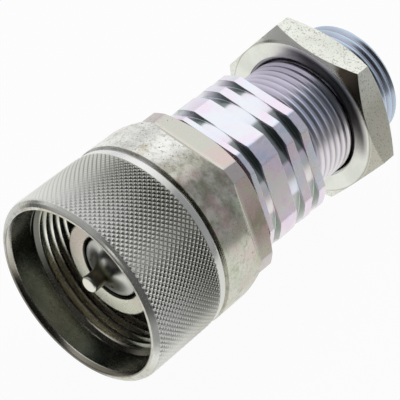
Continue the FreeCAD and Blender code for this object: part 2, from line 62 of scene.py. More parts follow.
# %% Angles round the axis
MM = 0.001
MOUTH = -60.0   # where the mouth plane lies along the axis
TURN = 2 * math.pi
SIXTH = math.pi / 3
SLIGHT = 1e-9   # keeps a comparison or a division safe


def steps_round(count):
    """Angles from straight up towards +X, the first given again at the end as the seam."""
    return np.arange(count + 1) * (TURN / count)


def from_flat(theta):
    """Angle from the middle of the nearest of six flats, one of them facing up."""
    return (theta + SIXTH / 2) % SIXTH - SIXTH / 2


def drawn_to(theta, edge):
    """The same angles, with the steps nearest to an edge of a flat moved on to it."""
    phi = from_flat(theta)
    near = np.abs(np.abs(phi) - edge) < 0.5 * (theta[1] - theta[0]) + SLIGHT
    return np.where(near, theta + np.sign(phi) * edge - phi, theta)


print("a sixth of a turn is", round(math.degrees(SIXTH)), "degrees")

# %% Rounded outline
EASE_STEPS = 3     # short sides that a rounded corner gets
LARGEST_CUT = 0.4  # a rounded corner takes no more than this part of a side


def eased(corners):
    """Rows of an outline of corners (along, radius, cut); a cut rounds its corner off."""
    width = max(np.size(value) for corner in corners for value in corner[:2])
    points = []
    for along, radius, _ in corners:
        points.append(np.stack([np.broadcast_to(np.asarray(along, float), width),
                                np.broadcast_to(np.asarray(radius, float), width)]))
    rows = []
    for number, corner in enumerate(corners):
        here = points[number]
        if not corner[2]:
            rows.append(here)
            continue
        back = points[number - 1] - here
        on = points[(number + 1) % len(points)] - here
        back_length = np.hypot(*back) + SLIGHT
        on_length = np.hypot(*on) + SLIGHT
        cut = np.minimum(corner[2], LARGEST_CUT * np.minimum(back_length, on_length))
        first = here + back / back_length * cut
        last = here + on / on_length * cut
        for t in np.linspace(0, 1, EASE_STEPS + 1):
            rows.append((1 - t) ** 2 * first + 2 * t * (1 - t) * here + t * t * last)
    return rows


print("a rounded corner becomes", EASE_STEPS + 1, "rows")

# %% Points and faces into a piece
WELD = 1e-6     # metres within which two points become one
SLIVER = 1e-7   # metres below which an edge is dissolved


def round_axis(radius, theta, along):
    """Points in metres at a radius and an angle round the axis."""
    return np.stack([radius * np.sin(theta), along + MOUTH, radius * np.cos(theta)], axis=-1) * MM


def solid_piece(name, points, faces, sharp):
    """An object that is welded, faces outwards and is smooth up to an angle in degrees."""
    mesh = bpy.data.meshes.new(name)
    mesh.from_pydata(points.reshape(-1, 3).tolist(), [], faces)
    work = bmesh.new()
    work.from_mesh(mesh)
    bmesh.ops.remove_doubles(work, verts=work.verts, dist=WELD)
    bmesh.ops.dissolve_degenerate(work, edges=work.edges, dist=SLIVER)
    bmesh.ops.recalc_face_normals(work, faces=work.faces)
    work.to_mesh(mesh)
    work.free()
    mesh.shade_smooth()
    mesh.set_sharp_from_angle(angle=math.radians(sharp))
    piece = bpy.data.objects.new(name, mesh)
    bpy.context.collection.objects.link(piece)
    print(name, "has", len(mesh.polygons), "faces")
    return piece


def stands_for(piece, node, body):
    """Rides the piece on its body in place of its CAD node."""
    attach(piece, body)
    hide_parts(node)


# %% Rows into a turned piece
TURNED_SHARP = 38                  # degrees; a steeper edge stays sharp
WHOLE, RISING, FALLING = 0, 1, 2   # a square kept whole, or split along one of its diagonals


def turned(node, rows, theta, body, split=None, closed=True):
    """A piece from rows (along, radius) carried round the axis; it stands for the CAD node."""
    theta = np.broadcast_to(theta, (len(rows), np.shape(theta)[-1]))
    along = np.stack([np.broadcast_to(row[0], theta.shape[1]) for row in rows])
    radius = np.stack([np.broadcast_to(row[1], theta.shape[1]) for row in rows])
    number = np.arange(theta.size).reshape(theta.shape)
    after = np.roll(number, -1, axis=0)
    last = None if closed else -1
    four = np.stack([number[:last, :-1], number[:last, 1:], after[:last, 1:], after[:last, :-1]], axis=-1)
    kind = np.full(four.shape[:2], WHOLE)
    if split is not None:
        kind[:] = split[:len(kind)]
    rising = four[kind == RISING]
    falling = four[kind == FALLING]
    faces = four[kind == WHOLE].tolist()
    faces += rising[:, [0, 1, 2]].tolist() + rising[:, [0, 2, 3]].tolist()
    faces += falling[:, [0, 1, 3]].tolist() + falling[:, [1, 2, 3]].tolist()
    piece = solid_piece(node + "_turned", round_axis(radius, theta, along), faces, TURNED_SHARP)
    even = piece.modifiers.new("even_shading", "WEIGHTED_NORMAL")
    even.keep_sharp = True
    stands_for(piece, node, body)
    return piece


# %% [markdown]
# A screw thread is a ridge that climbs one pitch in each turn. A screw modifier would cut it off
# square at its ends. Here each row of the outline climbs with the angle and is held between the two
# ends of the thread, so that the thread fades into its chamfer and its undercut as a cut one does.

# %% Thread rows
PITCH = 2.0   # both threads of this coupler


def thread_rows(theta, low, high, marks, held):
    """Rows of a thread from low to high; marks give (part of the pitch, radius) over one turn."""
    lead = theta / TURN
    parts = [mark[0] for mark in marks] + [1.0]
    radii = [mark[1] for mark in marks] + [marks[0][1]]
    rows = []
    for turn in range(-1, math.ceil((high - low) / PITCH)):
        for part in parts[:-1]:
            along = np.clip(low + (turn + part + lead) * PITCH, low, high)
            phase = ((along - low) / PITCH - lead) % 1.0
            rows.append((along, held(along, np.interp(phase, parts, radii)), 0))
    return rows


print("threads climb", PITCH, "mm a turn")

# %% [markdown]
# The union nut is the knurled sleeve that is spun by hand on to the other half. Its knurl is two
# sets of grooves rolled in at 45 degrees, which leave rows of small pyramids. A bump map would look
# flat at the edge of the sleeve, where the teeth stand out, so the pyramids are real: the sleeve has
# four steps to a tooth each way, and each square is split along the groove that crosses it.

# %% Knurl
TEETH, TOOTH_STEPS = 108, 4
KNURL_FROM, KNURL_TO, KNURL_ROWS = 0.97, 19.75, 56
KNURL_RUN_IN, KNURL_RUN_OUT = 1.2, 0.6   # how steeply the teeth rise from the bevel and sink to the band
BEVEL_TOP, BAND_RAD = 22.45, 22.5
TIP, DEEP = 22.75, 0.35
TOOTH_MARKS, TOOTH_HEIGHTS = [0, 0.5, 1], [0, 0.56, 1]   # a slightly rounded flank
nut_theta = steps_round(TOOTH_STEPS * TEETH)


def tooth(turn):
    """Height between two grooves of one set: 0 in a groove, 1 halfway to the next."""
    return 1 - np.abs(2 * (turn % 1.0) - 1)


def knurl_radius(row):
    """Radius of one row of the knurl, at every step round the axis."""
    column = np.arange(TOOTH_STEPS * TEETH + 1)
    low = np.minimum(tooth((column + row) / TOOTH_STEPS), tooth((column - row) / TOOTH_STEPS))
    return TIP - DEEP + DEEP * np.interp(low, TOOTH_MARKS, TOOTH_HEIGHTS)


def knurl_split(row):
    """Which way each square of a row is split: along the groove set that shapes it."""
    column = np.arange(TOOTH_STEPS * TEETH)
    one = tooth((column + row + 1) / TOOTH_STEPS)
    other = tooth((column - row) / TOOTH_STEPS)
    return np.where(one < other, FALLING, RISING)


knurl = []
for row in range(KNURL_ROWS + 1):
    along = KNURL_FROM + (KNURL_TO - KNURL_FROM) * row / KNURL_ROWS
    limit = np.minimum(BEVEL_TOP + KNURL_RUN_IN * (along - KNURL_FROM),
                       BAND_RAD + KNURL_RUN_OUT * (KNURL_TO - along))
    knurl.append((along, np.minimum(knurl_radius(row), limit), 0))
print("knurl:", TEETH, "teeth round,", KNURL_ROWS // TOOTH_STEPS, "along")

# %% [markdown]
# Behind the knurl the nut has a plain shoulder and then a short hexagon. The flats are milled into
# the round bar, and the cutter's slope leaves a curved line where each flat runs out. The six flats
# are worked out for each angle instead of being cut with a boolean, which keeps the rows even.
# Inside the mouth is the thread that pulls the two halves together.

# %% Hexagon and mating thread of the union nut
NUT_RAD, NUT_FLAT, NUT_FACE = 22.75, 20.5, 20.2
FLAT_FROM, NUT_END = 33.0, 38.4
BEVEL_SLOPE = 0.577   # the bevel on a hexagon's face lies at 30 degrees
MOUTH_RAD, MATING_CREST = 20.1, 18.92
MATING_FROM, MATING_FULL, MATING_TO = 6.82, 8.0, 17.8

nut_edge = math.acos(NUT_FLAT / NUT_RAD)
nut_hex_theta = drawn_to(nut_theta, nut_edge)
nut_phi = np.minimum(np.abs(from_flat(nut_hex_theta)), SIXTH / 2)
nut_side = np.minimum(NUT_RAD, NUT_FLAT / np.cos(nut_phi))
nut_run_out = FLAT_FROM + NUT_FLAT - NUT_RAD * np.cos(np.minimum(nut_phi, nut_edge))
mating_marks = [(0.0, 18.98), (0.03, MATING_CREST), (0.24, MATING_CREST), (0.27, 18.98),
                (0.56, 20.02), (0.60, MOUTH_RAD), (0.68, MOUTH_RAD), (0.72, 20.02)]


def held_in_mouth(along, radius):
    """The mating thread starts flush with the mouth and reaches its crest at MATING_FULL."""
    lowest = np.interp(along, [MATING_FROM, MATING_FULL, MATING_TO],
                       [MOUTH_RAD, MATING_CREST, MATING_CREST])
    return np.maximum(radius, lowest)


mating_thread = thread_rows(nut_theta, MATING_FROM, MATING_TO, mating_marks, held_in_mouth)
print("mating thread:", len(mating_thread), "rows")

# %% Union nut
HEX_AFTER, HEX_OUTSIDE = 30, 19   # rows past both of these take the angles of the hexagon
nut_rim = [(0.0, 20.65, 0.14), (0.0, 21.4, 0.08), (0.4, 21.94, 0.1),
           (KNURL_FROM - 0.02, BEVEL_TOP - 0.02, 0.0)]
nut_band = [(20.0, BAND_RAD, 0.06), (21.4, BAND_RAD, 0.3), (22.1, 22.1, 0.12), (22.42, 22.1, 0.06)]
nut_hexagon = [(22.45, NUT_RAD, 0.12), (nut_run_out, NUT_RAD, 0.1), (FLAT_FROM, nut_side, 0.1),
               (NUT_END - (nut_side - NUT_FACE) * BEVEL_SLOPE, nut_side, 0.1), (NUT_END, NUT_FACE, 0.14)]
nut_rear_hole = [(NUT_END, 15.05, 0.1), (37.9, 14.55, 0), (35.4, 14.55, 0), (35.4, 16.17, 0),
                 (33.4, 16.17, 0), (33.4, 14.55, 0), (27.04, 14.55, 0)]
nut_chamber = [(27.04, 18.92, 0), (20.4, 18.92, 0.1), (20.4, MOUTH_RAD, 0), (MATING_TO, MOUTH_RAD, 0)]
nut_mouth = [(MATING_FROM, MOUTH_RAD, 0), (1.2, MOUTH_RAD, 0.2)]
nut_rows = eased(nut_rim + knurl + nut_band + nut_hexagon + nut_rear_hole + nut_chamber
                 + mating_thread[::-1] + nut_mouth)
first_knurl = len(eased(nut_rim + knurl[:1])) - 1
nut_split = np.full((len(nut_rows), TOOTH_STEPS * TEETH), WHOLE)
for row in range(KNURL_ROWS):
    nut_split[first_knurl + row] = knurl_split(row)
on_hexagon = np.array([row[0].min() > HEX_AFTER and row[1].min() > HEX_OUTSIDE for row in nut_rows])
nut_angles = np.where(on_hexagon[:, None], nut_hex_theta, nut_theta)
union_nut = turned("union_nut", nut_rows, nut_angles, "union_nut_group", nut_split)

# %% [markdown]
# The rear body is the long turned piece that passes through the bulkhead. Three round grooves cross
# its hexagon, and the corners of the hexagon are turned down to round lands. Behind it the thread
# for the lock nut runs to the tube end. One outline gives all of it, with the land, the flat and the
# groove as different radii at each angle.

# %% Rear body
LAND, BODY_FLAT, GROOVE, GROOVE_SIDE = 19.5, 18.0, 17.95, 0.2
GROOVES = ((41.6, 44.0), (49.5, 52.5), (55.0, 57.6))
HEX_FROM, HEX_TO = 40.2, 60.0
PANEL_CORE, PANEL_CREST = 13.6, 15.0
PANEL_FROM, PANEL_FULL, PANEL_FADE, PANEL_TO = 62.5, 63.9, 93.0, 94.4
BODY_STEPS = 288

body_theta = drawn_to(steps_round(BODY_STEPS), math.acos(BODY_FLAT / LAND))
body_land = np.minimum(LAND, BODY_FLAT / np.cos(from_flat(body_theta)))
groove_edge = GROOVE_SIDE * (LAND - body_land) / (LAND - GROOVE)
panel_marks = [(0.0, 14.97), (0.04, PANEL_CREST), (0.24, PANEL_CREST), (0.28, 14.97),
               (0.55, 14.6), (0.60, 14.56), (0.68, 14.56), (0.73, 14.6)]


def held_on_panel(along, radius):
    """The bulkhead thread fades into its undercut and into the chamfer of the tube end."""
    highest = np.interp(along, [PANEL_FROM, PANEL_FULL, PANEL_FADE, PANEL_TO],
                        [PANEL_CORE, PANEL_CREST, PANEL_CREST, PANEL_CORE])
    return np.minimum(radius, highest)


body_corners = [(25.02, 12.5, 0), (25.02, 14.2, 0), (25.32, 14.5, 0), (HEX_FROM, 14.5, 0.2)]
body_corners += [(HEX_FROM, body_land, 0.14)]
for start, end in GROOVES:
    body_corners += [(start + groove_edge, body_land, 0.1), (start + GROOVE_SIDE, GROOVE, 0.2),
                     (end - GROOVE_SIDE, GROOVE, 0.2), (end - groove_edge, body_land, 0.1)]
body_corners += [(HEX_TO, body_land, 0.14), (HEX_TO, PANEL_CORE, 0.25), (PANEL_FROM, PANEL_CORE, 0)]
body_corners += thread_rows(body_theta, PANEL_FROM, PANEL_TO, panel_marks, held_on_panel)
body_corners += [(PANEL_TO, PANEL_CORE, 0), (PANEL_TO, 12.2, 0.2), (88.99, 11.05, 0.1), (86.9, 11.05, 0),
                 (86.9, 9.5, 0.1), (36.6, 9.5, 0), (36.6, 12.05, 0), (29.9, 12.05, 0), (29.9, 12.5, 0)]
rear_body = turned("rear_body", eased(body_corners), body_theta, "coupler_body")

# %% [markdown]
# The lock nut is a plain hexagon nut with both faces turned at 30 degrees. On a real nut the turned
# cone meets each flat in a curved line, close to the face in the middle of the flat and further from
# it at the corners. That line comes by itself when the cone is worked out from the radius of the flat
# at each angle; a bevel modifier would cut the same width all the way round.

# %% Lock nut
LOCK_FROM, LOCK_TO = 75.4, 83.4
LOCK_FLAT, LOCK_FACE, LOCK_HOLE, LOCK_MOUTH = 20.05, 19.55, 15.05, 15.95
LOCK_LEAD = 0.9   # how far the chamfer of the hole reaches in
LOCK_STEPS = 288

lock_theta = steps_round(LOCK_STEPS)
lock_side = LOCK_FLAT / np.cos(from_flat(lock_theta))
lock_slope = (lock_side - LOCK_FACE) * BEVEL_SLOPE
lock_corners = [
    (LOCK_FROM, LOCK_MOUTH, 0.12), (LOCK_FROM, LOCK_FACE, 0.15), (LOCK_FROM + lock_slope, lock_side, 0.12),
    (LOCK_TO - lock_slope, lock_side, 0.12), (LOCK_TO, LOCK_FACE, 0.15), (LOCK_TO, LOCK_MOUTH, 0.12),
    (LOCK_TO - LOCK_LEAD, LOCK_HOLE, 0), (LOCK_FROM + LOCK_LEAD, LOCK_HOLE, 0)]
lock_nut = turned("lock_nut", eased(lock_corners), lock_theta, "lock_nut_group")

# %% [markdown]
# Inside the mouth stands the nose of the valve body, a smooth turned face with a lip, and in it the
# poppet, a pin that flares out like a trumpet into the valve head. Both are turned pieces with no
# flats, so their outlines are plain numbers, and the flare is a quarter of an oval.

# %% Valve body and poppet
VALVE_STEPS, POPPET_STEPS = 192, 160
FLARE_FROM, FLARE_LENGTH, FLARE_RAD, FLARE_HEIGHT = 6.15, 4.25, 6.5, 4.5
FLARE_POINTS = 15

nose = [(10.55, 7.7, 0.1), (10.2, 8.05, 0.15), (9.8, 11.4, 0.15), (10.1, 11.7, 0.1), (11.2, 11.7, 0.1),
        (11.2, 10.3, 0), (14.2, 10.3, 0), (14.2, 11.7, 0.1)]
flange = [(21, 11.7, 0.2), (21, 17.62, 0.1), (21.4, 18.02, 0.1), (25, 18.02, 0), (25, 12.45, 0)]
spigot = [(29.8, 12.45, 0), (29.8, 12, 0), (30.6, 12, 0), (30.6, 10.75, 0), (33.5, 10.75, 0),
          (33.5, 12, 0), (36.5, 12, 0)]
valve_bore = [(36.5, 9.6, 0), (35.09, 9.6, 0), (35.09, 10.4, 0), (33.95, 10.4, 0), (33.95, 9.6, 0),
              (15.9, 9.6, 0.1), (14, 7.7, 0.1)]
valve_body = turned("valve_body", eased(nose + flange + spigot + valve_bore), steps_round(VALVE_STEPS),
                    "coupler_body")

poppet_corners = [(3.6, 0, 0), (3.6, 1.7, 0.2), (3.9, 2.0, 0.2)]
for turn in np.linspace(0, math.pi / 2, FLARE_POINTS):
    poppet_corners.append((FLARE_FROM + FLARE_LENGTH * math.sin(turn),
                           FLARE_RAD - FLARE_HEIGHT * math.cos(turn), 0))
poppet_corners += [(10.4, 7.0, 0.08), (10.75, 7.35, 0.1), (13.7, 7.35, 0.1), (13.7, 5, 0), (16.2, 5, 0.1),
                   (16.2, 3, 0), (33.1, 3, 0.1), (33.5, 2.6, 0.1), (33.5, 0, 0)]
poppet = turned("poppet", eased(poppet_corners), steps_round(POPPET_STEPS), "poppet_group",
                closed=False)

# %% [markdown]
# The valve spring presses the poppet shut. On the real coupler, pushing the poppet in shortens it by its
# whole travel; here it is wound at one length and nothing shortens it.

# %% Valve spring
COIL_RAD, WIRE_RAD, COIL_TURNS = 6.2, 0.65, 5
COIL_FROM, COIL_TO, POPPET_TRAVEL = 18.04, 30.78, 6.0
STEPS_A_TURN, WIRE_SIDES, WIRE_SHARP = 44, 14, 40

wind = np.linspace(0, 1, COIL_TURNS * STEPS_A_TURN + 1)[:, None]
round_wire = (np.arange(WIRE_SIDES) * (TURN / WIRE_SIDES))[None, :]
coil_turn = math.pi / 2 + TURN * COIL_TURNS * wind
coil_out = COIL_RAD + WIRE_RAD * np.cos(round_wire)
coil_along = COIL_FROM + (COIL_TO - COIL_FROM) * wind + WIRE_RAD * np.sin(round_wire)
coil_number = np.arange(coil_along.size).reshape(coil_along.shape)
coil_next = np.roll(coil_number, -1, axis=1)
coil_four = np.stack([coil_number[:-1], coil_next[:-1], coil_next[1:], coil_number[1:]], axis=-1)
coil_ends = [coil_number[0, ::-1].tolist(), coil_number[-1].tolist()]
valve_spring = solid_piece("valve_spring_wound", round_axis(coil_out, coil_turn, coil_along),
                           coil_four.reshape(-1, 4).tolist() + coil_ends, WIRE_SHARP)
stands_for(valve_spring, "valve_spring", "coupler_body")
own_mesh(valve_spring)

# %% [markdown]
# A finish is a small program in nodes. Written node by node it is long and hard to read, so one class
# wraps a socket: adding or multiplying two of them adds the node that does it. Colours and vectors go
# through Mix and Vector Math, since a Math node would turn a colour grey.

# %% Sockets that can be added and multiplied
class Wire:
    """A node's output in one finish."""

    def __init__(self, finish, socket):
        self.finish = finish
        self.socket = socket

    def _join(self, operation, first, second):
        both = [item.socket.type for item in (first, second) if isinstance(item, Wire)]
        kind = "ShaderNodeVectorMath" if set(both) & {"VECTOR", "RGBA"} else "ShaderNodeMath"
        return self.finish.add(kind, {"operation": operation}, {0: first, 1: second})

    def __add__(self, other):
        return self._join("ADD", self, other)

    def __radd__(self, other):
        return self._join("ADD", other, self)

    def __sub__(self, other):
        return self._join("SUBTRACT", self, other)

    def __rsub__(self, other):
        return self._join("SUBTRACT", other, self)

    def __mul__(self, other):
        return self._join("MULTIPLY", self, other)

    def __rmul__(self, other):
        return self._join("MULTIPLY", other, self)

    def __pow__(self, other):
        return self._join("POWER", self, other)

    def __rpow__(self, other):
        return self._join("POWER", other, self)


print("a wire can be added, subtracted, multiplied and raised to a power")


# %% Nodes of one finish
def srgb(red, green, blue):
    """A colour as it is seen on a screen, turned into the linear one that a shader takes."""
    linear = [c / 12.92 if c <= 0.04045 else ((c + 0.055) / 1.055) ** 2.4 for c in (red, green, blue)]
    return tuple(linear) + (1.0,)


class Finish:
    """A material or the world, with one method that adds its nodes."""

    def __init__(self, name, owner=None):
        self.owner = owner or bpy.data.materials.new(name)
        self.owner.use_nodes = True
        self.tree = self.owner.node_tree
        self.tree.nodes.clear()

    def add(self, kind, settings=None, inputs=None, out=0):
        """A node: its settings are set first, then its sockets get their values or links."""
        node = self.tree.nodes.new(kind)
        for key, value in (settings or {}).items():
            setattr(node, key, value)
        for key, value in (inputs or {}).items():
            if isinstance(value, Wire):
                self.tree.links.new(value.socket, node.inputs[key])
            elif node.inputs[key].type == "VECTOR" and isinstance(value, (int, float)):
                node.inputs[key].default_value = (value, value, value)
            else:
                node.inputs[key].default_value = value
        return Wire(self, node.outputs[out]) if node.outputs else None

    def place(self):
        """Place on the piece in millimetres, in the piece's own frame."""
        spot = self.add("ShaderNodeTexCoord", out="Object")
        return self.add("ShaderNodeVectorMath", {"operation": "SCALE"}, {0: spot, "Scale": 1000.0})

    def parts(self, vector):
        """The x, y and z of a vector."""
        split = self.add("ShaderNodeSeparateXYZ", None, {0: vector})
        return [Wire(self, output) for output in split.socket.node.outputs]

    def rise(self, value, low, high):
        """0 below low, 1 above high, smooth between; with low above high it falls."""
        return self.add("ShaderNodeMapRange", {"interpolation_type": "SMOOTHSTEP"},
                        {"Value": value, "From Min": low, "From Max": high})

    def between(self, value, low, high, soft):
        """1 from low to high, with soft ends."""
        return self.rise(value, low - soft, low + soft) * self.rise(value, high + soft, high - soft)

    def noise(self, vector, size, detail=3, rough=0.55):
        """Cloudy grey of about the given size in millimetres."""
        return self.add("ShaderNodeTexNoise", None,
                        {"Vector": vector, "Scale": 1.0 / size, "Detail": detail, "Roughness": rough})

    def stretched(self, vector, x, y, z):
        return self.add("ShaderNodeVectorMath", {"operation": "MULTIPLY"}, {0: vector, 1: (x, y, z)})

    def larger(self, first, second):
        return self.add("ShaderNodeMath", {"operation": "MAXIMUM"}, {0: first, 1: second})

    def size_of(self, value):
        """The value without its sign."""
        return self.add("ShaderNodeMath", {"operation": "ABSOLUTE"}, {0: value})

    def mix(self, mask, first, second):
        return self.add("ShaderNodeMix", {"data_type": "RGBA"}, {0: mask, 6: first, 7: second}, out=2)

    def coats(self, colour, *layers):
        """Colours laid one over another; each layer is a mask and its colour."""
        for mask, shade in layers:
            colour = self.mix(mask, colour, shade)
        return colour

    def bump(self, height, distance, strength):
        """A normal from a height; the distance is in millimetres."""
        return self.add("ShaderNodeBump", None,
                        {"Height": height, "Distance": distance * MM, "Strength": strength})

    def surface(self, **sockets):
        """The shader itself; a socket's name is written with _ for its spaces."""
        shader = self.add("ShaderNodeBsdfPrincipled", None,
                          {name.replace("_", " "): value for name, value in sockets.items()})
        self.add("ShaderNodeOutputMaterial", None, {"Surface": shader})
        return self.owner


class PieceFinish(Finish):
    """A finish with its place on the piece: along from the mouth and out from the axis."""

    def __init__(self, name):
        super().__init__(name)
        self.at = self.place()
        self.x, self.y, self.z = self.parts(self.at)
        self.along = self.y - MOUTH
        self.out = (self.x * self.x + self.z * self.z) ** 0.5


def wear(piece, material):
    """Gives a piece or a CAD node its finish."""
    if piece.material_slots:
        for slot in piece.material_slots:
            slot.material = material
    else:
        piece.data.materials.append(material)
    print(piece.name, "wears", material.name, "of", len(material.node_tree.nodes), "nodes")


# %% [markdown]
# Zinc plating on turned steel is a soft grey mirror. It is never even: the bath leaves clouds of
# olive, pink and pale grey, and handling leaves small dark specks. An image could carry all that, but
# it would need unwrapping; noise in millimetres needs none and stays sharp close up. The finish is
# laid on in coats, each a mask and a colour, and the union nut takes four of these steps: its
# plating, its hexagon, its knurl, and its rim and bore. Where a tone differs from side to side of a
# piece it was fitted to the photograph. Many of these tones are painted light, shade and reflections
# and not plating; painted here they stay on the piece in every view.

# %% Union nut: plating of the shoulder
def nut_plating(f, clouds, tints, grain):
    at, x, z = f.at, f.x, f.z
    smudges = f.rise(f.noise(at + 53.0, 2.4, 4, 0.6), 0.54, 0.7)
    mottle = f.rise(f.noise(at + 91.0, 3.5, 5, 0.62), 0.36, 0.62)
    painted_shade_top_right = f.rise(x, -3.0, 5.0) * f.rise(z, 12.0, 16.0)
    return f.coats(
        srgb(0.86, 0.86, 0.84),
        (f.rise(clouds, 0.36, 0.64), srgb(0.94, 0.94, 0.92)),
        (f.rise(tints, 0.5, 0.64) * 0.6, srgb(0.78, 0.75, 0.64)),
        (f.rise(grain, 0.5, 0.62) * 0.4, srgb(0.62, 0.62, 0.58)),
        # Darker olive towards the right: painted shade over the olive clouds of the plating.
        (f.rise(x, 0.0, 6.0) * (0.3 + 0.4 * tints), srgb(0.70, 0.69, 0.60)),
        (smudges * 0.6, srgb(0.60, 0.58, 0.50)),
        # Painted shade on the top right of the shoulder, broken up by mottle.
        (painted_shade_top_right * (0.2 + 0.6 * mottle), srgb(0.50, 0.49, 0.42)))


# %% [markdown]
# The milled flats are warmer and more even than the shoulder: grey on the left and pink in the middle,
# with painted shade in brown at the far right. Faint pink and green clouds lie over the right side of the
# whole rear end.

# %% Union nut: hexagon, tints and specks
def nut_rear(f, colour, tints, specks):
    at, x, z, along, out = f.at, f.x, f.z, f.along, f.out
    flats = f.rise(along, 30.0, 31.0) * f.rise(out, 22.72, 22.6) * f.rise(along, 38.7, 38.5)
    warm = f.coats(
        srgb(0.79, 0.79, 0.75),
        (f.rise(x + tints * 8.0, 5.0, 11.0), srgb(0.83, 0.76, 0.74)),
        # Painted shade: brown on the flats at the upper right.
        (f.rise(x, 14.0, 19.0) * f.rise(z, 2.0, 10.0), srgb(0.62, 0.59, 0.52)))
    milled = f.mix(f.rise(along, FLAT_FROM, 34.2), srgb(0.84, 0.83, 0.79), warm)
    round_corners = f.between(along, FLAT_FROM, 38.6, 0.1) * f.rise(out, 22.5, 22.65)
    film = f.noise(at + 71.0, 4.0, 3)
    tinted_right = f.rise(x, -4.0, 14.0) * f.rise(along, 22.2, 23.0)
    speckled = f.rise(out, 21.5, 22.0) * f.rise(along, 22.6, 22.9)
    return f.coats(
        colour,
        (flats, milled),
        (f.rise(film, 0.52, 0.66) * tinted_right * 0.3, srgb(0.87, 0.71, 0.73)),
        (f.rise(film, 0.48, 0.36) * tinted_right * 0.35, srgb(0.73, 0.80, 0.67)),
        (round_corners, srgb(0.79, 0.76, 0.75)),
        (specks * speckled, srgb(0.42, 0.41, 0.37)))


# %% [markdown]
# The tips of the knurl are bright and its grooves dark. Fitted to the photograph: the sleeve is darker
# on its right side, which is painted shade, and its front end is paler than the rear; the paler tone on
# top, underneath and at the right side of the front end is painted light, and the knurl is less metallic
# there to make it so. The plain band behind the knurl carries painted shade, darkest between the top and
# the right side.

# %% Union nut: knurl and band
def nut_teeth(f, to_front, painted_light_sides):
    x, z = f.x, f.z
    tips = f.rise(f.out, 22.40, 22.62)
    left = f.mix(tips, srgb(0.58, 0.58, 0.55), srgb(0.86, 0.86, 0.83))
    # Painted shade: the right side of the knurl is darker than the left.
    right = f.mix(tips, srgb(0.50, 0.50, 0.47), srgb(0.78, 0.78, 0.75))
    front = f.mix(tips, srgb(0.84, 0.84, 0.81), srgb(0.94, 0.94, 0.92))
    return f.coats(
        left,
        (f.rise(x, -2.0, 6.0), right),
        # Paler underneath, more so towards the front: painted light.
        (f.rise(z, 5.0, -7.0) * (0.3 + 0.6 * to_front), srgb(0.90, 0.89, 0.84)),
        # The front end is paler, with painted light over its top and at its right side.
        (to_front, f.mix(painted_light_sides, front, srgb(1.0, 1.0, 0.98))))


def nut_band_colour(f):
    # Painted shade on the band: darker from the top to the right side, a little less at the far right.
    return f.coats(
        srgb(0.90, 0.90, 0.89),
        (f.rise(f.x, -2.0, 8.0), srgb(0.76, 0.76, 0.74)),
        (f.rise(f.x, 14.0, 19.0), srgb(0.85, 0.85, 0.83)))


# %% [markdown]
# All tones here are fitted to the photograph and are painted light and shade: a painted highlight on the
# rim's bevel, painted shade low down on its face, round its inner edge and on its flare, and in the bore
# painted shade, with painted light low on the left, where the crests of its thread carry painted
# highlights too.

# %% Union nut: rim and bore
def nut_rim_colour(f, colour, bevel):
    x, z, along, out = f.x, f.z, f.along, f.out
    face = f.rise(along, 0.98, 0.93) * f.rise(out, 20.6, 20.68)
    painted_shade_inner_edge = face * f.rise(out, 21.0, 20.75) * f.rise(z, 8.0, 2.0) * 0.8
    painted_shade_low_left = face * f.rise(z, -4.0, -11.0) * f.rise(x, 13.0, 6.0) * 0.9
    flare = f.rise(out, 20.66, 20.6) * f.rise(along, 1.05, 0.95) * f.rise(out, MOUTH_RAD, 20.15)
    low_flare_shade = f.mix(f.rise(x, 7.0, 0.0), srgb(0.48, 0.46, 0.41), srgb(0.60, 0.58, 0.53))
    return f.coats(
        colour,
        # Painted highlight on the bevel; painted shade on the face round its inner edge, low on the left
        # and at the far left; the flare is darker low down with painted shade.
        (bevel, srgb(0.97, 0.97, 0.94)),
        (painted_shade_inner_edge, srgb(0.45, 0.44, 0.41)),
        (painted_shade_low_left, srgb(0.39, 0.38, 0.35)),
        (face * f.rise(x, -12.0, -18.0) * 0.4, srgb(0.50, 0.50, 0.47)),
        (flare, f.mix(f.rise(z, -10.0, 2.0), low_flare_shade, srgb(0.86, 0.85, 0.82))))


def nut_bore_colour(f, clouds):
    x, z, along, out = f.x, f.z, f.along, f.out
    crests = f.rise(out, 19.75, 19.15) * f.between(along, 6.9, MATING_TO, 0.1)
    # Crests of the thread: painted shade on top, painted highlights low on the left.
    crest_light_and_shade = f.coats(
        srgb(0.80, 0.80, 0.74),
        (f.rise(z, 4.0, 12.0), srgb(0.58, 0.58, 0.54)),
        (f.rise(x, -8.0, -14.0) * f.rise(z, 0.0, -5.0), srgb(1.0, 1.0, 0.95)))
    # Painted light on the thread low down.
    painted_light_low_thread = f.between(along, 8.2, MATING_TO, 0.2) * f.rise(z, -6.0, -12.0) * f.rise(x, 10.0, 2.0)
    low_lead_light_and_shade = f.mix(f.rise(x, 2.0, 8.0), srgb(0.76, 0.75, 0.69), srgb(0.42, 0.41, 0.37))
    # The lead of the thread: painted shade, with painted light low on the left.
    lead = f.mix(f.rise(z, -8.0, -16.0), srgb(0.46, 0.46, 0.43), low_lead_light_and_shade)
    # The bore is painted darker as shade; low on the left it is paler with painted light.
    return f.coats(
        srgb(0.56, 0.59, 0.57),
        (f.rise(clouds, 0.4, 0.6), srgb(0.64, 0.66, 0.62)),
        (f.rise(z, -6.0, -18.0) * f.rise(x, 4.0, -8.0) * 0.8, srgb(0.86, 0.86, 0.78)),
        (crests, crest_light_and_shade),
        (painted_light_low_thread, srgb(0.97, 0.94, 0.86)),
        (f.between(along, 6.85, 8.3, 0.1), lead))


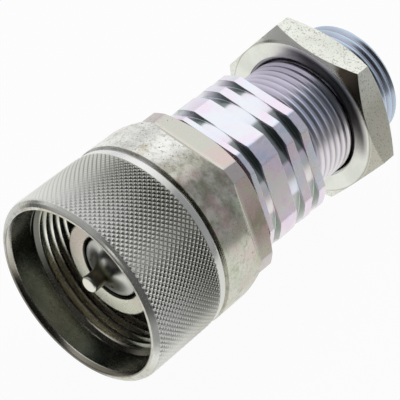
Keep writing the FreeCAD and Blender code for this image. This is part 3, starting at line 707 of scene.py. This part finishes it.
# %% Union nut finish
def nut_finish():
    f = PieceFinish("nut_zinc_finish")
    at, x, z, along, out = f.at, f.x, f.z, f.along, f.out
    clouds = f.noise(at, 5.0, 6, 0.66)
    tints = f.noise(at + 31.0, 12.0, 3)
    grain = f.noise(at, 0.9, 4, 0.65)
    rings = f.noise(f.stretched(at, 0.15, 5.0, 0.15), 1.0, 3)
    specks = f.rise(f.noise(at + 7.0, 0.5, 2), 0.63, 0.71) * (1 - 0.6 * f.rise(x, -2.0, 8.0))
    outside = f.rise(out, 21.6, 21.9)
    knurled = f.between(along, 0.94, 19.8, 0.03) * outside
    banded = f.between(along, 19.8, 22.0, 0.1) * outside
    to_front = f.rise(along, 19.0, 0.0)
    # Mask of the painted light on the front of the knurl: over the top and at the right side.
    painted_light_sides = f.between(x, -9.0, 5.0, 3.0) + f.between(z, 1.0, 9.0, 3.0) * f.rise(x, 10.0, 16.0)
    # Mask of the painted highlight on the rim's bevel.
    bevel = (f.rise(along, 1.0, 0.9) * f.rise(out, 21.3, 21.5)
             * f.rise(x, -16.0, -10.0) * f.rise(z, -8.0, -2.0))
    inside = f.rise(out, 20.4, 20.2) * f.between(along, 1.25, 30.0, 0.1)
    colour = nut_plating(f, clouds, tints, grain)
    colour = nut_rear(f, colour, tints, specks)
    colour = f.coats(
        colour,
        (banded, nut_band_colour(f)),
        (knurled, nut_teeth(f, to_front, painted_light_sides)))
    colour = nut_rim_colour(f, colour, bevel)
    colour = f.mix(inside, colour, nut_bore_colour(f, clouds))
    # Less metallic, so paler, where light is painted: the left of the groove behind the band, the front
    # and underside of the knurl, and the highlight on the rim's bevel.
    matt = f.between(along, 21.5, 22.6, 0.1) * f.rise(x, 6.0, -4.0)
    matt = matt + knurled * (to_front * (0.05 + 0.75 * painted_light_sides) + f.rise(z, 2.0, -10.0) * 0.4)
    matt = matt + bevel * (0.4 + 0.8 * painted_light_sides)
    return f.surface(Base_Color=colour, Metallic=1 - 0.8 * matt,
                     Roughness=0.2 + 0.12 * clouds + 0.15 * specks + 0.06 * knurled,
                     Normal=f.bump(grain * 0.5 + rings * 0.5, 0.02, 0.5))


wear(union_nut, nut_finish())

# %% [markdown]
# The rear body is plated brighter, with the thin rainbow film that a clear passivation leaves: white
# on the flats, with pink and pale blue clouds. The corners of the grooves carry painted shade in slate
# grey, darker towards the top, and so do their rear walls on the left. The thread is lilac in front of
# the lock nut, blue-grey behind it; its tones from side to side are painted reflections and shade.

# %% Rear body: film and lands
def body_plating(f, film):
    at, x, z, along, out = f.at, f.x, f.z, f.along, f.out
    other = f.noise(at + 17.0, 5.0, 3)
    streaks = f.noise(f.stretched(at + 23.0, 1.0, 0.35, 1.0), 2.2, 3)
    right_side = f.rise(x, 5.0, 12.0)
    lands = (f.rise(out, 19.35, 19.46) * f.rise(along, 60.2, 60.05)
             * f.rise(x, 2.0, 8.0) * f.rise(z, 4.0, 10.0))
    return f.coats(
        srgb(0.91, 0.92, 0.94),
        (f.rise(film, 0.4, 0.62), srgb(0.93, 0.88, 0.93)),
        (f.rise(other, 0.5, 0.7) * 0.6, srgb(0.87, 0.92, 0.97)),
        (right_side * f.rise(other, 0.55, 0.42) * 0.4, srgb(0.94, 0.90, 0.84)),
        (right_side * f.rise(film, 0.50, 0.62) * 0.4, srgb(0.90, 0.82, 0.92)),
        (lands * 0.6, srgb(0.86, 0.86, 0.92)),
        (lands * f.rise(streaks, 0.5, 0.62) * 0.4, srgb(0.70, 0.79, 0.90)),
        (lands * f.rise(streaks, 0.46, 0.36) * 0.4, srgb(0.82, 0.75, 0.74)))


# %% Rear body: grooves
GROOVE_SOFT = 0.03   # soft ends of the masks along the axis
WALL_PAST = 0.03     # how far the mask of a groove's rear wall reaches past the groove


def along_grooves(f):
    """1 in the three grooves."""
    first, second, third = [f.between(f.along, start, end, GROOVE_SOFT) for start, end in GROOVES]
    return first + second + third


def groove_walls(f):
    """1 on the rear wall of each groove."""
    first, second, third = [f.between(f.along, end - GROOVE_SIDE, end + WALL_PAST, GROOVE_SOFT)
                            for _, end in GROOVES]
    return (first + second + third) * f.rise(f.out, 17.98, 18.1)


def under_flat(f):
    """How far out a place lies towards the nearest of the six flats."""
    across = [f.size_of(f.x * math.sin(turn) + f.z * math.cos(turn)) for turn in (0, SIXTH, 2 * SIXTH)]
    return f.larger(f.larger(across[0], across[1]), across[2])


def groove_colour(f, colour, grooves):
    x, z = f.x, f.z
    # Painted shade in the corners of the grooves, darker towards the top, and on the rear walls on the
    # left, fading out at the far left.
    corners = grooves * f.rise(under_flat(f), 17.66, 17.42) * f.rise(x, -10.0, -5.0)
    corner_shade = f.mix(f.rise(z, 2.0, 9.0), srgb(0.82, 0.84, 0.82), srgb(0.56, 0.59, 0.59))
    left_wall_shade = f.mix(f.rise(x, -6.0, -13.0), srgb(0.50, 0.53, 0.53), srgb(0.95, 0.96, 0.97))
    return f.coats(
        colour,
        (corners, corner_shade),
        (groove_walls(f) * f.rise(x, 1.0, -3.0), left_wall_shade))


# %% Rear body finish
def body_finish():
    f = PieceFinish("body_zinc_finish")
    at, x, along, out = f.at, f.x, f.along, f.out
    film = f.noise(at, 7.0, 3)
    grain = f.noise(at, 0.7, 3)
    rings = f.noise(f.stretched(at, 0.12, 6.0, 0.12), 1.0, 3)
    grooves = along_grooves(f)
    thread = f.rise(along, 60.6, 61.2) * f.rise(out, 12.9, 13.3)
    front = thread * f.rise(along, 76.0, 75.0)
    lilac = f.coats(
        srgb(0.83, 0.81, 0.87),
        # Bluer and paler towards the right: painted reflections.
        (f.rise(x, 1.0, 5.0), srgb(0.90, 0.93, 1.0)),
        (f.rise(x, 9.0, 13.5), srgb(0.95, 0.93, 0.94)),
        # Painted shade on the left of the thread near the lock nut.
        (f.rise(along, 68.0, 73.0) * f.rise(x, 3.0, -2.0) * 0.6, srgb(0.60, 0.58, 0.66)),
        (f.rise(along, 80.0, 85.0), srgb(0.74, 0.80, 0.86)),
        # Painted shade in the roots of the thread.
        (f.rise(out, 14.9, 14.4), srgb(0.70, 0.68, 0.74)))
    colour = groove_colour(f, body_plating(f, film), grooves)
    # Inside the hole the body is painted dark as shade.
    colour = f.coats(colour, (thread, lilac), (f.rise(out, 11.6, 11.0), srgb(0.52, 0.52, 0.50)))
    return f.surface(Base_Color=colour, Metallic=1 - 0.12 * front,
                     Roughness=0.2 + 0.12 * film + 0.04 * grooves + 0.05 * front,
                     Normal=f.bump(grain * 0.4 + rings * 0.6, 0.015, 0.45))


wear(rear_body, body_finish())

# %% [markdown]
# The lock nut comes from another bath: a pale green-grey with a cast of olive, satin, and freckled with
# fine dark pits on its flats. Fitted to the photograph: its front face is darker towards the upper right
# with painted shade, the bevel there carries painted shade too, and a painted highlight lies on the bevel
# over the top flat. These three are painted reflections of the surroundings, which the lights of this
# studio do not give. The darker bevels all round, the darker flats on the right and the dark edge of the
# hole are painted shade as well.

# %% Lock nut finish
DARK_X, DARK_Z = 0.52, 0.854   # the direction in which the painted shade on the front face grows darker


def lock_finish():
    f = PieceFinish("lock_nut_zinc_finish")
    at, x, z, along, out = f.at, f.x, f.z, f.along, f.out
    clouds = f.noise(at, 8.0, 4)
    pits = f.rise(f.noise(at + 5.0, 0.42, 3), 0.55, 0.68)
    grain = f.noise(at, 0.6, 4, 0.65)
    rings = f.noise(f.stretched(at, 1.0, 0.2, 1.0), 0.8, 2)
    bevels = f.rise(out, 19.6, 20.2) * f.rise(f.between(along, 75.7, 83.1, 0.25), 0.9, 0.3)
    flats = f.between(along, 75.8, 83.0, 0.15) * f.rise(out, 18.0, 19.0)
    dark_way = x * DARK_X + z * DARK_Z
    painted_shade_face = f.rise(dark_way, 8.0, 15.0) * f.rise(along, 75.9, 75.6) * f.rise(out, 19.5, 18.0)
    above_cone = (along - LOCK_FROM) - (out - LOCK_FACE) * BEVEL_SLOPE
    front_bevel = f.rise(above_cone, 0.14, 0.05) * f.rise(out, 19.4, 19.7)
    painted_highlight = front_bevel * f.rise(x, 8.0, 5.0) * f.rise(z, 15.0, 18.0)
    colour = f.coats(
        srgb(0.86, 0.87, 0.83),
        (f.rise(clouds, 0.36, 0.64), srgb(0.91, 0.92, 0.88)),
        # Painted shade on the bevels all round and on the flats at the right.
        (bevels * 0.85, srgb(0.52, 0.49, 0.43)),
        (flats * f.rise(x, 12.0, 17.5) * 0.7, srgb(0.69, 0.67, 0.61)),
        (flats * pits * 0.8, srgb(0.52, 0.50, 0.44)),
        # Painted shade on the front face to the upper right and on the bevel there, a painted highlight on
        # the bevel over the top flat, and painted shade round the hole.
        (painted_shade_face * 0.95, srgb(0.26, 0.25, 0.25)),
        (front_bevel * f.rise(dark_way, 18.6, 20.2), srgb(0.36, 0.33, 0.29)),
        (painted_highlight, srgb(0.98, 0.98, 0.95)),
        (f.rise(out, 15.65, 15.25), srgb(0.20, 0.19, 0.18)))
    # Less metallic under the painted highlight, so that it looks paler.
    return f.surface(Base_Color=colour, Metallic=1 - 0.8 * painted_highlight,
                     Roughness=0.2 + 0.08 * clouds + 0.06 * flats - 0.08 * bevels,
                     Normal=f.bump(grain * 0.6 - pits * 0.5 + rings * 0.2, 0.02, 0.5))


wear(lock_nut, lock_finish())

# %% [markdown]
# The nose is turned and lightly polished, cream in its face, with fine rings from the tool; it is paler
# low down with painted light, and painted shade darkens the edge round its hole and its inside. The poppet
# is satin steel, with painted shade in its neck and a painted highlight on the end of its pin.

# %% Nose and poppet finishes
def nose_finish():
    f = PieceFinish("nose_zinc_finish")
    clouds = f.noise(f.at, 6.0, 3)
    rings = f.noise(f.add("ShaderNodeCombineXYZ", None, {0: f.out * 5.0, 1: f.y}), 1.0, 2)
    colour = f.coats(
        srgb(0.97, 0.92, 0.86),
        # Paler low down: painted light.
        (f.rise(f.z + clouds * 6.0, 5.0, -5.0), srgb(0.99, 0.99, 0.91)),
        # Painted shade round the hole and deeper inside.
        (f.rise(f.out, 8.12, 7.88), srgb(0.24, 0.23, 0.20)),
        (f.rise(f.along, 11.0, 14.5), srgb(0.34, 0.33, 0.30)))
    return f.surface(Base_Color=colour, Metallic=0.7, Roughness=0.22 + 0.1 * clouds,
                     Normal=f.bump(rings, 0.01, 0.5))


def poppet_finish():
    f = PieceFinish("poppet_steel_finish")
    clouds = f.noise(f.at, 2.5, 3)
    neck = f.between(f.along, 4.6, 8.4, 0.7)
    tip = f.rise(f.along, 3.95, 3.7)
    colour = f.coats(
        srgb(0.86, 0.87, 0.83),
        (clouds, srgb(0.80, 0.79, 0.78)),
        # Painted shade in the neck; a painted highlight on the end of the pin.
        (neck * 0.8, srgb(0.50, 0.48, 0.38)),
        (tip, srgb(0.96, 0.95, 0.90)))
    return f.surface(Base_Color=colour, Metallic=1.0, Roughness=0.24 + 0.1 * clouds + 0.1 * tip,
                     Normal=f.bump(f.noise(f.at, 0.4, 3), 0.01, 0.4))


wear(valve_body, nose_finish())
wear(poppet, poppet_finish())

# %% [markdown]
# Ten pieces inside keep their CAD shapes, which are right as they are: rings of rubber, plastic and
# bronze, a circlip, the spring plate and the guide. They and the spring still get finishes of two close
# colours in fine clouds, because a cutaway or a look down the bore shows them.

# %% Finishes inside
def plain_finish(name, light, dark, metallic, rough, size, depth):
    """A finish of two close colours in fine clouds, with a bump of the same grain."""
    f = Finish(name)
    at = f.place()
    clouds = f.noise(at, size * 6, 3)
    grain = f.noise(at, size, 4, 0.6)
    colour = f.mix(f.rise(clouds * 0.6 + grain * 0.4, 0.35, 0.65), dark, light)
    return f.surface(Base_Color=colour, Metallic=metallic, Roughness=rough + 0.15 * grain,
                     Normal=f.bump(grain, depth, 0.5))


rubber = plain_finish("seal_rubber_finish", light=srgb(0.13, 0.13, 0.13), dark=srgb(0.08, 0.08, 0.08),
                      metallic=0.0, rough=0.5, size=0.3, depth=0.02)
plastic = plain_finish("seal_plastic_finish", light=srgb(0.88, 0.86, 0.80), dark=srgb(0.80, 0.77, 0.70),
                       metallic=0.0, rough=0.4, size=0.4, depth=0.01)
bronze = plain_finish("bearing_bronze_finish", light=srgb(0.74, 0.60, 0.40), dark=srgb(0.62, 0.47, 0.30),
                      metallic=1.0, rough=0.3, size=0.3, depth=0.01)
wire = plain_finish("spring_steel_finish", light=srgb(0.66, 0.66, 0.66), dark=srgb(0.48, 0.48, 0.49),
                    metallic=1.0, rough=0.28, size=0.25, depth=0.01)
steel = plain_finish("inner_steel_finish", light=srgb(0.72, 0.72, 0.71), dark=srgb(0.58, 0.57, 0.55),
                     metallic=1.0, rough=0.3, size=0.4, depth=0.01)
finish_inside = {"poppet_seal": rubber, "nose_oring": rubber, "body_oring": rubber,
                 "nut_wiper_ring": rubber, "nose_backup_ring": plastic,
                 "body_backup_ring": plastic, "nut_thrust_ring": bronze,
                 "guide_circlip": wire, "valve_guide": steel, "spring_plate": steel}
for node, material in finish_inside.items():
    wear(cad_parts[node], material)
wear(valve_spring, wire)

# %% [markdown]
# The studio is a white table, lit from high on the left and from behind by one large lamp and by the
# lit side of the room; the room behind the camera is dark. Bright metal is only as good as what it
# mirrors, so that split matters more than the lamp. Three cards that only reflections see finish it:
# a grey one low on the right, a black one in front of the mouth, and a small white one that gives the
# rim its glint.

# %% Room
LIT_SIDE = Vector((-0.80, 0.25, 0.55))
LIT_BACK = Vector((-0.30, 0.95, 0.10))
DARK_SIDE = Vector((0.40, -0.56, 0.73))
LIT_CLOTH = (0.84, 0.84, 0.86, 1)
DIM_FRONT, DIM_REAR, DARK_ROOM = (0.16, 0.16, 0.16, 1), (0.46, 0.47, 0.50, 1), (0.02, 0.02, 0.02, 1)


def towards(f, ray, way):
    """How far a ray or a place reaches in one direction."""
    return f.add("ShaderNodeVectorMath", {"operation": "DOT_PRODUCT"}, {0: ray, 1: way}, out="Value")


def room():
    world = bpy.data.worlds.new("dim_room")
    bpy.context.scene.world = world
    f = Finish("dim_room", world)
    ray = f.add("ShaderNodeTexCoord", out="Generated")
    lit_side = f.rise(towards(f, ray, LIT_SIDE), 0.51, 0.61)
    lit_back = f.rise(towards(f, ray, LIT_BACK), 0.70, 0.82)
    cloth = f.coats(
        DIM_FRONT,
        (f.rise(f.parts(ray)[1], -0.2, 0.3), DIM_REAR),
        (f.rise(towards(f, ray, DARK_SIDE), 0.55, 0.92), DARK_ROOM),
        (f.larger(lit_side, lit_back), LIT_CLOTH))
    shader = f.add("ShaderNodeBackground", None, {"Color": cloth, "Strength": 1.0})
    f.add("ShaderNodeOutputWorld", None, {"Surface": shader})
    print("room of", len(f.tree.nodes), "nodes")


room()


# %% Studio cards
def flat_card(name, corners):
    """A flat object of four corners."""
    mesh = bpy.data.meshes.new(name)
    mesh.from_pydata(corners, [], [(0, 1, 2, 3)])
    card = bpy.data.objects.new(name, mesh)
    bpy.context.collection.objects.link(card)
    return card


def studio_card(name, centre, across, up, soft, tone):
    """A card with half sides across and up, seen by reflections only, fading out at its edges."""
    across = Vector(across)
    up = Vector(up)
    card = flat_card(name, [-across - up, across - up, across + up, up - across])
    card.location = centre
    f = Finish(name + "_paint")
    spot = f.add("ShaderNodeTexCoord", out="Object")
    edges = [f.rise(f.size_of(towards(f, spot, side / side.length_squared)), 1.0, 1.0 - soft)
             for side in (across, up)]
    clear = f.add("ShaderNodeBsdfTransparent")
    paint = f.add("ShaderNodeEmission", None, {"Color": (tone, tone, tone, 1), "Strength": 1.0})
    shader = f.add("ShaderNodeMixShader", None, {0: edges[0] * edges[1], 1: clear, 2: paint})
    f.add("ShaderNodeOutputMaterial", None, {"Surface": shader})
    card.data.materials.append(f.owner)
    card.visible_camera = False
    card.visible_diffuse = False
    card.visible_shadow = False
    print(name, "is", round(2 * across.length, 2), "by", round(2 * up.length, 2), "m")


def facing_card(name, direction, distance, half_width, half_height, soft, tone):
    """A card at a distance in one direction, square to the line from the part to it."""
    direction = Vector(direction).normalized()
    side = direction.cross(Vector((0, 0, 1))).normalized()
    up = side.cross(direction)
    studio_card(name, distance * direction, half_width * side, half_height * up, soft, tone)


facing_card("side_card", (0.83, 0.56, 0.0), distance=0.28, half_width=0.22, half_height=0.06,
            soft=0.3, tone=0.3)
facing_card("glint_card", (0.06, -0.95, 0.31), distance=0.45, half_width=0.06, half_height=0.04,
            soft=0.5, tone=2.0)
studio_card("front_card", (0.0, -0.105, 0.0), across=(0.30, 0, 0), up=(0, 0, 0.032), soft=0.25, tone=0.01)

# %% [markdown]
# The floor is a white card under the part. The part lies on the shoulder of its nut and on a flat of
# the lock nut, which reach down to different depths, so the card is tilted to both. To the camera and in
# reflections it glows almost white, which keeps the background plain; what is left of its matt paint
# still takes the part's shadow.

# %% Floor
FLOOR_HALF = 3.0
FLOOR_UNDER = 22.76                 # just below the nut's shoulder
NUT_REST, LOCK_REST = 30.75, 83.1   # where along the axis the two nuts touch the floor
FLOOR_GLOW = 0.95                   # how much of what is seen is glow instead of paint


def floor():
    """A white card, tilted as the part lies on its nut's shoulder and the lock nut's flat."""
    half = FLOOR_HALF
    card = flat_card("floor", [(-half, -half, 0), (half, -half, 0), (half, half, 0), (-half, half, 0)])
    slope = math.atan2(NUT_RAD - LOCK_FLAT, LOCK_REST - NUT_REST)
    card.location = (0, (NUT_REST + MOUTH) * MM, -FLOOR_UNDER * MM)
    card.rotation_euler = (slope, 0, 0)
    f = Finish("white_card")
    grey = f.noise(f.add("ShaderNodeTexCoord", out="Object"), 0.01, 2)
    colour = f.mix(grey, (0.94, 0.94, 0.94, 1), (0.96, 0.96, 0.96, 1))
    matt = f.add("ShaderNodeBsdfDiffuse", None, {"Color": colour})
    glow = f.add("ShaderNodeEmission", None, {"Color": (1, 1, 1, 1), "Strength": 1.0})
    camera_ray = f.add("ShaderNodeLightPath", out="Is Camera Ray")
    path = camera_ray.socket.node.outputs
    rays = camera_ray + Wire(f, path["Is Glossy Ray"]) + Wire(f, path["Is Transmission Ray"])
    mask = f.add("ShaderNodeMath", {"operation": "MINIMUM"}, {0: rays, 1: 1.0}) * FLOOR_GLOW
    shader = f.add("ShaderNodeMixShader", None, {0: mask, 1: matt, 2: glow})
    f.add("ShaderNodeOutputMaterial", None, {"Surface": shader})
    card.data.materials.append(f.owner)
    print("floor tilted by", round(math.degrees(slope), 2), "degrees")


floor()

# %% [markdown]
# The lamp is a square soft box, as in a small product studio, high on the left and behind the part.
# A point lamp would leave hard shadows; a box this large lets the part's shadow fade out softly.

# %% Lamp
LAMP_SIDE = 1.4      # metres
LAMP_GLOW = 0.25     # brightness of its face

lamp_data = bpy.data.lights.new("soft_box", "AREA")
lamp_data.shape = "SQUARE"
lamp_data.size = LAMP_SIDE
lamp_data.energy = LAMP_GLOW * math.pi * LAMP_SIDE ** 2
lamp = bpy.data.objects.new("soft_box", lamp_data)
bpy.context.collection.objects.link(lamp)
lamp.location = (-0.62, 0.60, 1.02)
lamp.rotation_mode = "QUATERNION"
lamp.rotation_quaternion = Vector(lamp.location).to_track_quat("Z", "Y")
print("lamp:", round(lamp_data.energy, 2), "W")

# %% [markdown]
# The camera was found by matching the drawn edges of the part to the photograph: a long lens, about
# 0.37 m away, looking down at 47 degrees. Its three directions are written as they were found.

# %% Camera
RIGHT = Vector((0.75594, 0.64930, 0.08346))
UP = Vector((-0.51974, 0.51776, 0.67955))
BACK = Vector((0.39802, -0.55708, 0.72887))
EYE = Vector((0.14322, -0.22073, 0.26105))
SENSOR = 36.0
FOCAL_PIXELS, FRAME_PIXELS = 1620.13, 400

camera_data = bpy.data.cameras.new("camera")
camera_data.sensor_width = SENSOR
camera_data.lens = SENSOR * FOCAL_PIXELS / FRAME_PIXELS
camera = bpy.data.objects.new("camera", camera_data)
bpy.context.collection.objects.link(camera)
camera.matrix_world = Matrix.Translation(EYE) @ Matrix((RIGHT, UP, BACK)).transposed().to_4x4()
bpy.context.scene.camera = camera
bpy.context.scene.view_settings.view_transform = "Standard"
print("camera:", round(camera_data.lens, 1), "mm lens")
